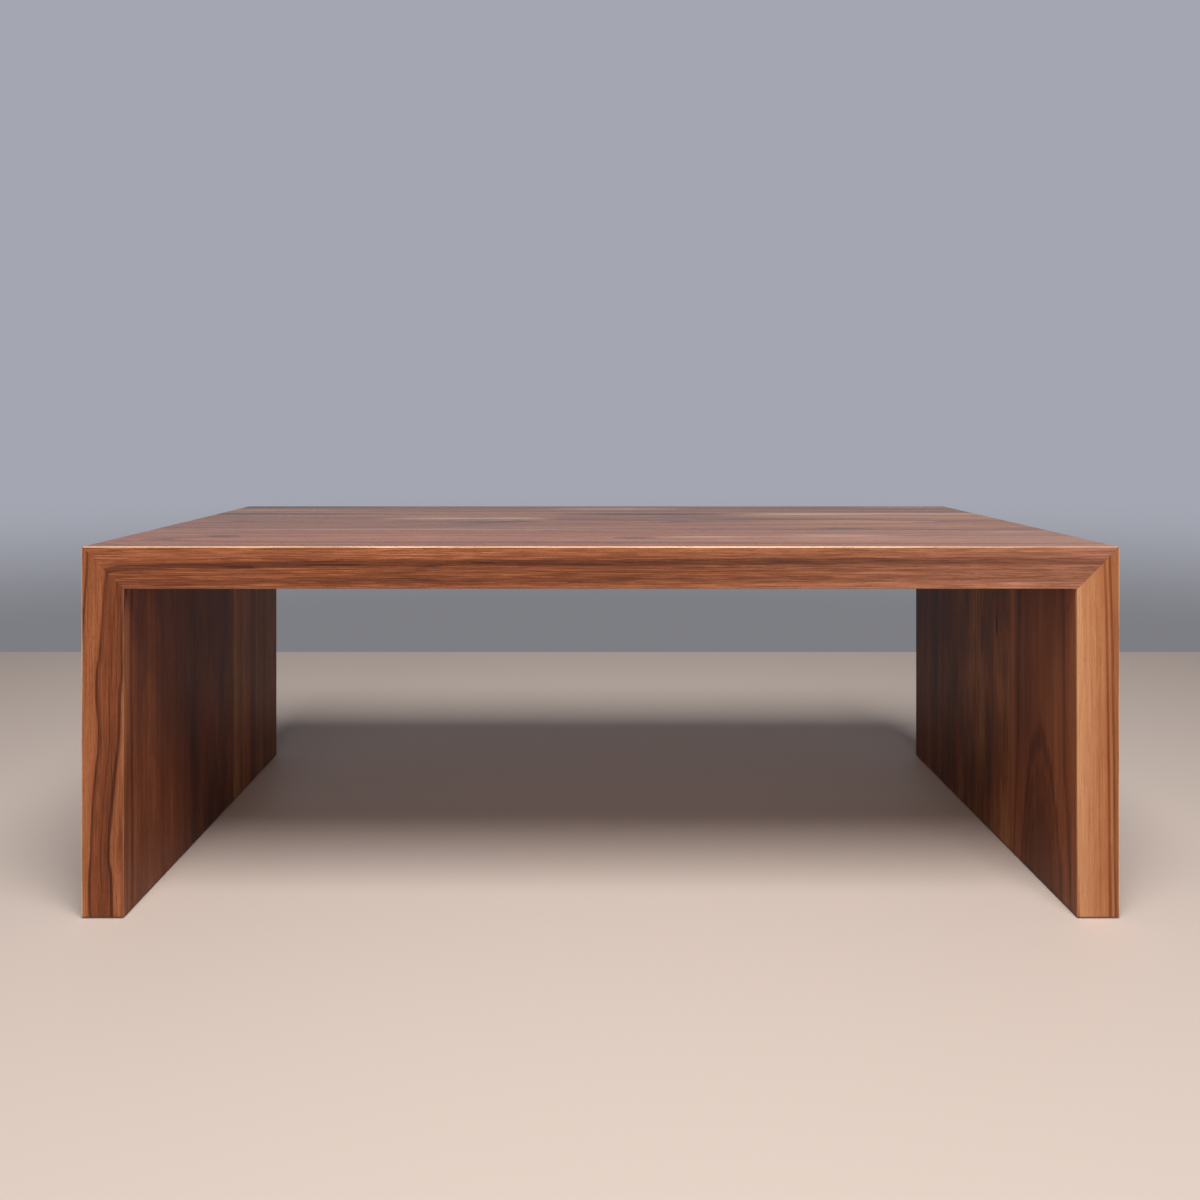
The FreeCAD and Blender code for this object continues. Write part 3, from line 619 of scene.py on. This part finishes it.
boardFigures = [
    {**frontPlank, "node": "top_board_front", "slab": "top", "finish": topFinish,
     "lines": (0.15, 0.40), "lineWidth": 13.0, "streakDepth": (6, 40), "fleck": 1.25,
     "bands": [(-30, 0.0), (0, 0.05), (4, 0.05), (5, -0.02), (6, 0.05), (15, 0.04), (20, 0.0),
               (22, -0.15), (23.5, -0.24), (27, -0.23), (28.5, -0.13), (30, -0.04), (31, -0.12),
               (32, -0.02), (34, -0.03), (35, -0.13), (36, -0.02), (39, -0.03), (43, -0.09),
               (46.5, -0.03), (50, 0.05), (56, 0.06), (80, 0.0)],
     "bandFade": [(-609, 0.92), (-300, 0.95), (0, 1.03), (330, 0.97), (480, 0.80), (609, 0.60)],
     "streaks": [(-305, 0.06), (-262, 0.04), (-240, 0.08), (-222, 0.06), (-205, 0.03), (-190, 0.08),
                 (-165, 0.05), (-150, 0.0), (-134, 0.06), (-104, 0.05)],
     "lengthTone": [(-609, 0.02), (0, 0.01), (300, 0.035), (609, 0.08)],
     # painted sheen towards the right end: a mauve tint and a paler mix
     "tintAndSheen": [(-609, 0.0), (100, 0.0), (450, 0.6), (609, 0.9)],
     "paintedSheen": [(-609, 0.0), (-100, 0.0), (150, 0.05), (400, 0.11), (609, 0.145)],
     # the painted highlight on the front arris dims towards both ends, most of all at the right
     "rubAndHighlightFade": [(-609, 0.75), (-300, 1.0), (250, 1.0), (430, 0.6), (609, 0.4)],
     "knots": [{"at": (44, -207), "reach": (36, 20), "swell": 21, "lift": -0.24, "ragged": 0.5,
                "strands": False},
               {"at": (-479, -191), "reach": (34, 20), "swell": 18, "lift": -0.22, "ragged": 0.5,
                "strands": False},
               {"at": (118, -200), "reach": (100, 15), "pale": 0.75, "ragged": 2.6},
               {"at": (298, -182), "reach": (95, 17), "pale": 0.75, "ragged": 2.6},
               {"at": (296, -216), "reach": (130, 40), "lift": 0.12},
               {"at": (560, -136), "reach": (95, 16), "pale": 0.65, "ragged": 2.6}]},
    {**frontPlank, "node": "left_board_front", "slab": "left", "finish": sideFinish,
     "lines": (0.15, 0.25), "fleck": 0.7, "mottle": 0.3, "rings": (0.08, 0.26, 0.05),
     "innerFrom": (28, 44),
     "innerDrift": [(-1046, -14.5), (-1000, -15.2), (-971, -18.3), (-936, -16.2), (-883, -12.1),
                    (-830, -7.3), (-784, -6.0), (-750, -3.8), (-713, -4.0), (-657, 1), (-609, 3)],
     "wideDrift": [(-1046, -27), (-950, -20), (-800, -9), (-700, -3), (-609, 3)],
     "bands": [(-30, 0.06), (0, 0.11), (2.6, 0.11), (4.2, -0.16), (5.8, 0.10), (19, 0.11), (22, 0.05),
               (23.4, -0.05), (24.4, -0.23), (25.8, -0.12), (29, -0.07), (36.2, -0.07), (37.2, -0.18),
               (38.3, -0.08), (45, -0.10), (47.3, -0.25), (48.8, -0.06), (50.5, 0.03), (54, 0.07),
               (58, -0.02), (80, -0.05)],
     "bandFade": [(-1046, 1.15), (-850, 1.15), (-700, 0.9), (-609, 0.75)],
     "lengthTone": [(-1046, 0.03), (-850, 0.03), (-700, 0.0), (-609, 0.0)],
     "streaks": [(-305, 0.0), (-300, 0.01), (-296, -0.13), (-292, -0.01), (-286, -0.02), (-281, -0.22),
                 (-277, -0.03), (-266, -0.05), (-256, -0.09), (-250, -0.06), (-230, -0.05),
                 (-212, -0.09), (-192, -0.13), (-170, -0.15), (-140, -0.16), (-109, -0.17)]},
    straightBoard("top_board_middle", "top", 4.0, pith=(15, 230), tone=0.67, tint="tan", tinted=1.0,
                  banding=0.6, bandWidth=16.0, lines=(0.4, 0.4), lineWidth=18.0, rings=topRings,
                  drift=[(-609, -12), (-200, -3), (200, 4), (609, 12)], streakDepth=(6, 40),
                  lengthTone=[(-609, -0.05), (-300, -0.04), (0, 0.0), (609, 0.0)],
                  knots=[{"at": (-165, 42), "reach": (120, 62), "swell": 18, "ragged": 0.3},
                         {"at": (-251, 66), "reach": (100, 26), "pale": 1.0, "ragged": 2.2},
                         {"at": (-199, 70), "reach": (64, 23), "pale": 1.0, "ragged": 2.2},
                         {"at": (-134, 76), "reach": (80, 32), "pale": 1.0, "ragged": 2.2},
                         {"at": (-168, -4), "reach": (58, 16), "lift": -0.52},
                         {"at": (-122, 10), "reach": (46, 14), "lift": -0.52},
                         {"at": (-190, 20), "reach": (140, 50), "lift": -0.10},
                         {"at": (-20, 60), "reach": (130, 70), "lift": -0.08},
                         {"at": (115, 160), "reach": (250, 34), "lift": -0.46, "strands": False},
                         {"at": (60, 130), "reach": (200, 22), "lift": -0.36},
                         {"at": (-545, 150), "reach": (240, 38), "lift": -0.46},
                         {"at": (335, 150), "reach": (170, 33), "pale": 1.0, "strands": False},
                         {"at": (500, 153), "reach": (280, 22), "pale": 0.8, "strands": False},
                         {"at": (150, 98), "reach": (130, 15), "lift": -0.28},
                         {"at": (264, 46), "reach": (190, 13), "lift": -0.36},
                         {"at": (420, -5), "reach": (230, 100), "lift": 0.14},
                         {"at": (-250, -104), "reach": (420, 14), "pale": 0.6},
                         {"at": (380, -105), "reach": (440, 12), "lift": -0.34},
                         {"at": (339, -87), "reach": (46, 13), "swell": 14, "lift": -0.34,
                          "strands": False}]),
    straightBoard("top_board_rear", "top", 9.0, pith=(340, 150), tone=0.65, tint="tan", tinted=1.0,
                  banding=0.55, bandWidth=22.0, lines=(0.4, 0.4), lineWidth=24.0, rings=topRings,
                  drift=[(-609, 6), (0, 0), (609, -8)], streakDepth=(6, 40),
                  knots=[{"at": (8, 250), "reach": (140, 26), "pale": 0.8, "ragged": 2.6},
                         {"at": (-550, 292), "reach": (240, 38), "lift": -0.56},
                         {"at": (-534, 222), "reach": (120, 18), "pale": 0.4, "ragged": 2.6},
                         {"at": (543, 285), "reach": (120, 18), "pale": 0.5, "ragged": 2.6}]),
    straightBoard("left_board_middle", "left", 14.0, tone=0.38, tinted=0.0, banding=0.3,
                  bandWidth=45.0, lines=(0.2, 0.2), mottle=0.5, rings=sideRings,
                  knots=[{"at": (-1030, 0), "reach": (110, 62), "swell": 8, "lift": -0.20},
                         {"at": (-700, 40), "reach": (140, 40), "swell": 5, "lift": -0.10}]),
    straightBoard("left_board_rear", "left", 19.0, tone=0.56, tint="olive", tinted=1.0, banding=0.3,
                  lines=(0.25, 0.25), mottle=0.3, rings=sideRings,
                  bands=[(-10, 0.11), (8, 0.14), (30, 0.05), (62, 0.07), (78, 0.03), (88, -0.13),
                         (105, -0.08), (125, 0.02), (150, -0.03), (180, 0.03), (230, 0.03)]),
    {**plainBoard, "node": "right_board_front", "slab": "right", "finish": sideFinish, "seed": 23.0,
     "skinAt": (frontEdge, 0), "pith": (-204, 150), "tone": 0.82, "tint": "tan", "tinted": 0.3,
     "wander": 0.3, "banding": 0.15, "lines": (0.2, 0.2), "rings": (0.05, 0.16, 0.05),
     "fleck": 0.4, "mottle": 0.15, "pores": 0.16,
     "drift": [(609, 4.0), (640, 3.3), (700, 1.7), (800, 0.4), (1046, -2.5)],
     "bands": [(-10, -0.21), (0, -0.19), (4.4, -0.18), (5.4, -0.27), (6.2, -0.33), (7.0, -0.24),
               (7.8, -0.09), (8.8, -0.05), (9.8, -0.10), (10.7, -0.26), (11.7, -0.24), (12.8, -0.06),
               (14.8, -0.03), (18, -0.01), (27, 0.015), (34, 0.06), (37.5, 0.075), (39.5, 0.02),
               (43, -0.19), (50, -0.23), (57, -0.30), (60, -0.41), (62.5, -0.32), (68, -0.26),
               (78, -0.25), (83, -0.29), (87, -0.48), (90, -0.42), (93, -0.37), (97, -0.48),
               (101, -0.41), (105, -0.46), (114, -0.42)],
     "knots": [{"at": (1070, -206), "reach": (260, 110), "swell": 30, "ragged": 0.25, "strands": False,
                "outerShare": 0.2},
               {"at": (860, -160), "reach": (260, 42), "lift": -0.09, "ragged": 0.6, "strands": False},
               # painted shade: darker towards the top of the inner face, under the top
               {"at": (640, -190), "reach": (130, 110), "lift": -0.10, "ragged": 0.6, "strands": False}]},
    straightBoard("right_board_second", "right", 28.0, tone=0.495, tint="olive", tinted=1.0,
                  banding=0.3, bandWidth=40.0, lines=(0.25, 0.25), mottle=0.8, rings=sideRings,
                  bands=[(-10, 0.06), (22, 0.09), (48, 0.07), (58, 0.0), (68, -0.10), (90, -0.06),
                         (130, -0.03)],
                  knots=[{"at": (745, -61), "reach": (26, 6), "swell": 3, "lift": -0.28,
                          "strands": False},
                         # painted shade: darker towards the top of the inner face, under the top
                         {"at": (640, -60), "reach": (140, 90), "lift": -0.07, "ragged": 0.6,
                          "strands": False}]),
    straightBoard("right_board_third", "right", 33.0, tone=0.46, tint="olive", tinted=1.0,
                  banding=0.4, bandWidth=40.0, lines=(0.25, 0.25), mottle=0.8, rings=sideRings,
                  bands=[(-10, 0.13), (3, 0.13), (8, 0.01), (90, 0.0)]),
    straightBoard("right_board_rear", "right", 37.0, tone=0.37, tint="olive", tinted=0.6,
                  banding=0.3, lines=(0.25, 0.25), mottle=0.5, rings=sideRings,
                  bands=[(-10, 0.10), (4, 0.10), (12, 0.0), (230, 0.0)]),
]
for board in boardFigures:
    walnutBoard(board)
print(len(boardFigures), "walnut boards finished")


# Beech tenons and biscuits, hidden in their slots
beech = {
    "ramp": [(0.0, (0.40, 0.24, 0.14)), (0.5, (0.56, 0.37, 0.23)), (1.0, (0.68, 0.50, 0.34))],
    "fleck": (0.36, 0.19, 0.10, 1.0),
    "edge": (0.74, 0.58, 0.42, 1.0),
    "reach": (60, 4),              # mm along and across the fibres
    "seed": 3.0,
    "detail": 3.0,
    "contrast": 1.4,
    "flecksPerReach": 4,
    "fleckWidth": (0.30, 0.12),
    "fleckShare": 0.6,
    "edgeSharpness": (0.52, 0.62),
    "edgeShare": 0.4,
    "roughness": (0.55, 0.75),
    "fluteGap": 0.0016,            # metres
    "fluteDepth": 0.0002,
    "fluteShare": 0.5,
    "bumpStrength": 0.5,
}


def beechPieces(node, grain):
    # grain is the axis of the scene that the fibres follow
    material, tree, shader = newMaterial("beech_" + node)
    spot = addNode(tree, "ShaderNodeTexCoord").outputs["Object"]
    long, short = beech["reach"]
    reach = [long if axis == grain else short for axis in "XYZ"]
    place = doVector(tree, "MULTIPLY", spot, (1 / mm,) * 3)
    cloud = grainNoise(tree, place, reach, beech["seed"], beech["detail"])
    tone = addUp(tree, 0.5, doMath(tree, "MULTIPLY", cloud, beech["contrast"]))
    colour = colourRamp(tree, tone, beech["ramp"])
    closer = [beech["flecksPerReach"] / length for length in reach]
    cell = addNode(tree, "ShaderNodeTexVoronoi",
                   {"Vector": doVector(tree, "MULTIPLY", place, closer), "Scale": 1.0})
    fleck = spread(tree, cell.outputs["Distance"], beech["fleckWidth"], (0.0, beech["fleckShare"]))
    colour = blendColour(tree, fleck, colour, beech["fleck"])
    sharp = addNode(tree, "ShaderNodeNewGeometry").outputs["Pointiness"]
    worn = spread(tree, sharp, beech["edgeSharpness"], (0.0, beech["edgeShare"]))
    colour = blendColour(tree, worn, colour, beech["edge"])
    tree.links.new(colour, shader.inputs["Base Color"])
    rough = spread(tree, cloud, walnut["noiseRange"], beech["roughness"], "LINEAR")
    tree.links.new(rough, shader.inputs["Roughness"])

    # pressed flutes that hold the glue
    part = addNode(tree, "ShaderNodeSeparateXYZ", {0: spot}).outputs
    flute = doMath(tree, "SINE", doMath(tree, "MULTIPLY", part["Y"], 2 * math.pi / beech["fluteGap"]))
    height = addUp(tree, doMath(tree, "MULTIPLY", flute, beech["fluteShare"]), cloud)
    bump = addNode(tree, "ShaderNodeBump", {"Strength": beech["bumpStrength"],
                                            "Distance": beech["fluteDepth"], "Height": height})
    tree.links.new(bump.outputs[0], shader.inputs["Normal"])
    nodes[node].material_slots[0].material = material


beechNames = [name for name in nodes if "tenons" in name or "biscuits" in name]
for name in beechNames:
    beechPieces(name, "X" if name.startswith(("top", "mitre")) else "Z")
print(len(beechNames), "groups of beech tenons and biscuits finished")


# Felt pads: pressed wool with a soft rim and loose fibres round it
felt = {
    "pads": ["felt_pad_front_left", "felt_pad_rear_left", "felt_pad_front_right", "felt_pad_rear_right"],
    # steps in mm, from the middle of the underside out and up to the middle of the top:
    # how far in from the rim, how far up
    "profile": [(11.2, 0.10), (8.5, 0.06), (6.0, 0.02), (3.6, 0.0), (1.8, 0.0), (0.9, 0.08), (0.4, 0.32),
                (0.15, 0.75), (0.08, 1.4), (0.08, 2.6), (0.2, 3.3), (0.6, 3.8), (1.6, 3.95), (6.0, 3.95),
                (11.2, 3.95)],
    "roundPoints": 96,
    "unevenness": 0.07,            # mm
    "lumps": 0.7,                  # about how many to a mm
    "padStep": 9,                  # keeps the lumps of the four pads apart
    "fibre": {
        "count": 130,
        "length": (0.8, 1.9),      # mm, as the next four
        "radius": 0.03,
        "rootInset": 0.15,
        "rootHeight": (0.35, 1.1),
        "curl": 0.1,
        "curlTurn": 3,             # radians from root to tip
        "lean": 0.8,
        "reachShare": 0.7,
        "taper": 0.7,
        "rows": 4,
        "sides": 3,
    },
    "colours": [(0.30, (0.020, 0.017, 0.016)), (0.55, (0.050, 0.044, 0.041)),
                (0.75, (0.115, 0.103, 0.096))],
    "tangle": {"Scale": 900.0, "Detail": 5.0, "Distortion": 2.2},
    "cloud": {"Scale": 260.0, "Detail": 3.0},
    "tangleTone": 0.75,
    "cloudTone": 0.55,
    "darker": -0.15,
    "edgeSharpness": (0.50, 0.62),
    "edgeTone": 0.12,
    "tangleRange": (0.3, 0.7),
    "roughness": (0.86, 1.0),
    "sheen": 0.25,
    "sheenRoughness": 0.6,
    "bumpStrength": 1.0,
    "bumpDepth": 0.0008,           # metres
}


def oblongPoint(turn, halfLength, radius, inset):
    # a point on the pad's rounded outline, with the way that faces out there
    radius = radius - inset
    straight = halfLength - radius - inset
    angle = 2 * math.pi * turn
    away = Vector((math.cos(angle), math.sin(angle), 0))
    end = straight if away.y > 0 else -straight
    return Vector((radius * away.x, radius * away.y + end, 0)), away


def skinRings(mesh, rings):
    # faces from ring to ring, and one over each end
    count = len(rings[0])
    for lower, upper in zip(rings, rings[1:]):
        for step in range(count):
            following = (step + 1) % count
            mesh.faces.new((lower[step], lower[following], upper[following], upper[step]))
    mesh.faces.new(list(reversed(rings[0])))
    mesh.faces.new(rings[-1])


def pressedBody(mesh, middle, halfLength, radius, number):
    count = felt["roundPoints"]
    rings = []
    for inset, up in felt["profile"]:
        ring = []
        for step in range(count):
            point, away = oblongPoint((step + 0.5) / count, halfLength, radius, inset)
            point.z = up
            lump = Vector((point.x, point.y, up + felt["padStep"] * number)) * felt["lumps"]
            point -= away * felt["unevenness"] * (1 + noise.noise(lump))
            ring.append(mesh.verts.new(middle + point * mm))
        rings.append(ring)
    skinRings(mesh, rings)


def looseFibre(mesh, middle, halfLength, radius, dice):
    # starts at the rim, in the gap under the wood
    fibre = felt["fibre"]
    start, away = oblongPoint(dice.random(), halfLength, radius, fibre["rootInset"])
    start.z = dice.uniform(*fibre["rootHeight"])
    reach = dice.uniform(*fibre["length"])
    most = fibre["lean"]
    lean = Vector((dice.uniform(-most, most), dice.uniform(-most, most), 0))
    aside, upward = Vector((-away.y, away.x, 0)), Vector((0, 0, 1))
    rows = []
    for step in range(fibre["rows"]):
        share = step / (fibre["rows"] - 1)
        spot = start + (away + lean * share) * reach * share * fibre["reachShare"]
        curl = dice.uniform(-fibre["curl"], fibre["curl"])
        spot.z += math.sin(share * fibre["curlTurn"]) * curl
        thick = fibre["radius"] * (1 - fibre["taper"] * share)
        row = []
        for corner in range(fibre["sides"]):
            angle = 2 * math.pi * corner / fibre["sides"]
            side = aside * math.cos(angle) + upward * math.sin(angle)
            row.append(mesh.verts.new(middle + (spot + side * thick) * mm))
        rows.append(row)
    skinRings(mesh, rows)


def feltPad(name, number):
    low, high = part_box(name)
    middle = Vector(((low.x + high.x) / 2, (low.y + high.y) / 2, low.z))
    radius, halfLength = (high.x - low.x) / 2 / mm, (high.y - low.y) / 2 / mm
    dice = random.Random(number)
    mesh = bmesh.new()
    pressedBody(mesh, middle, halfLength, radius, number)
    for strand in range(felt["fibre"]["count"]):
        looseFibre(mesh, middle, halfLength, radius, dice)
    data = bpy.data.meshes.new(name + "_wool")
    mesh.to_mesh(data)
    mesh.free()
    data.shade_smooth()
    pad = bpy.data.objects.new(name + "_wool", data)
    bpy.context.scene.collection.objects.link(pad)
    return pad


def feltMaterial():
    material, tree, shader = newMaterial("woolFelt")
    spot = addNode(tree, "ShaderNodeTexCoord").outputs["Object"]
    tangle = addNode(tree, "ShaderNodeTexNoise", {"Vector": spot, **felt["tangle"]}).outputs["Fac"]
    cloud = addNode(tree, "ShaderNodeTexNoise", {"Vector": spot, **felt["cloud"]}).outputs["Fac"]
    sharp = addNode(tree, "ShaderNodeNewGeometry").outputs["Pointiness"]
    shade = addUp(tree, doMath(tree, "MULTIPLY", tangle, felt["tangleTone"]),
                  doMath(tree, "MULTIPLY", cloud, felt["cloudTone"]), felt["darker"],
                  spread(tree, sharp, felt["edgeSharpness"], (0.0, felt["edgeTone"])))
    tree.links.new(colourRamp(tree, shade, felt["colours"]), shader.inputs["Base Color"])
    rough = spread(tree, tangle, felt["tangleRange"], felt["roughness"], "LINEAR")
    tree.links.new(rough, shader.inputs["Roughness"])
    shader.inputs["Sheen Weight"].default_value = felt["sheen"]
    shader.inputs["Sheen Roughness"].default_value = felt["sheenRoughness"]
    bump = addNode(tree, "ShaderNodeBump", {"Strength": felt["bumpStrength"],
                                            "Distance": felt["bumpDepth"], "Height": tangle})
    tree.links.new(bump.outputs[0], shader.inputs["Normal"])
    return material


woolFelt = feltMaterial()
for number, name in enumerate(felt["pads"]):
    pad = feltPad(name, number)
    pad.data.materials.append(woolFelt)
    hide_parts(name)
    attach(pad, "root")
print(len(felt["pads"]), "felt pads made")
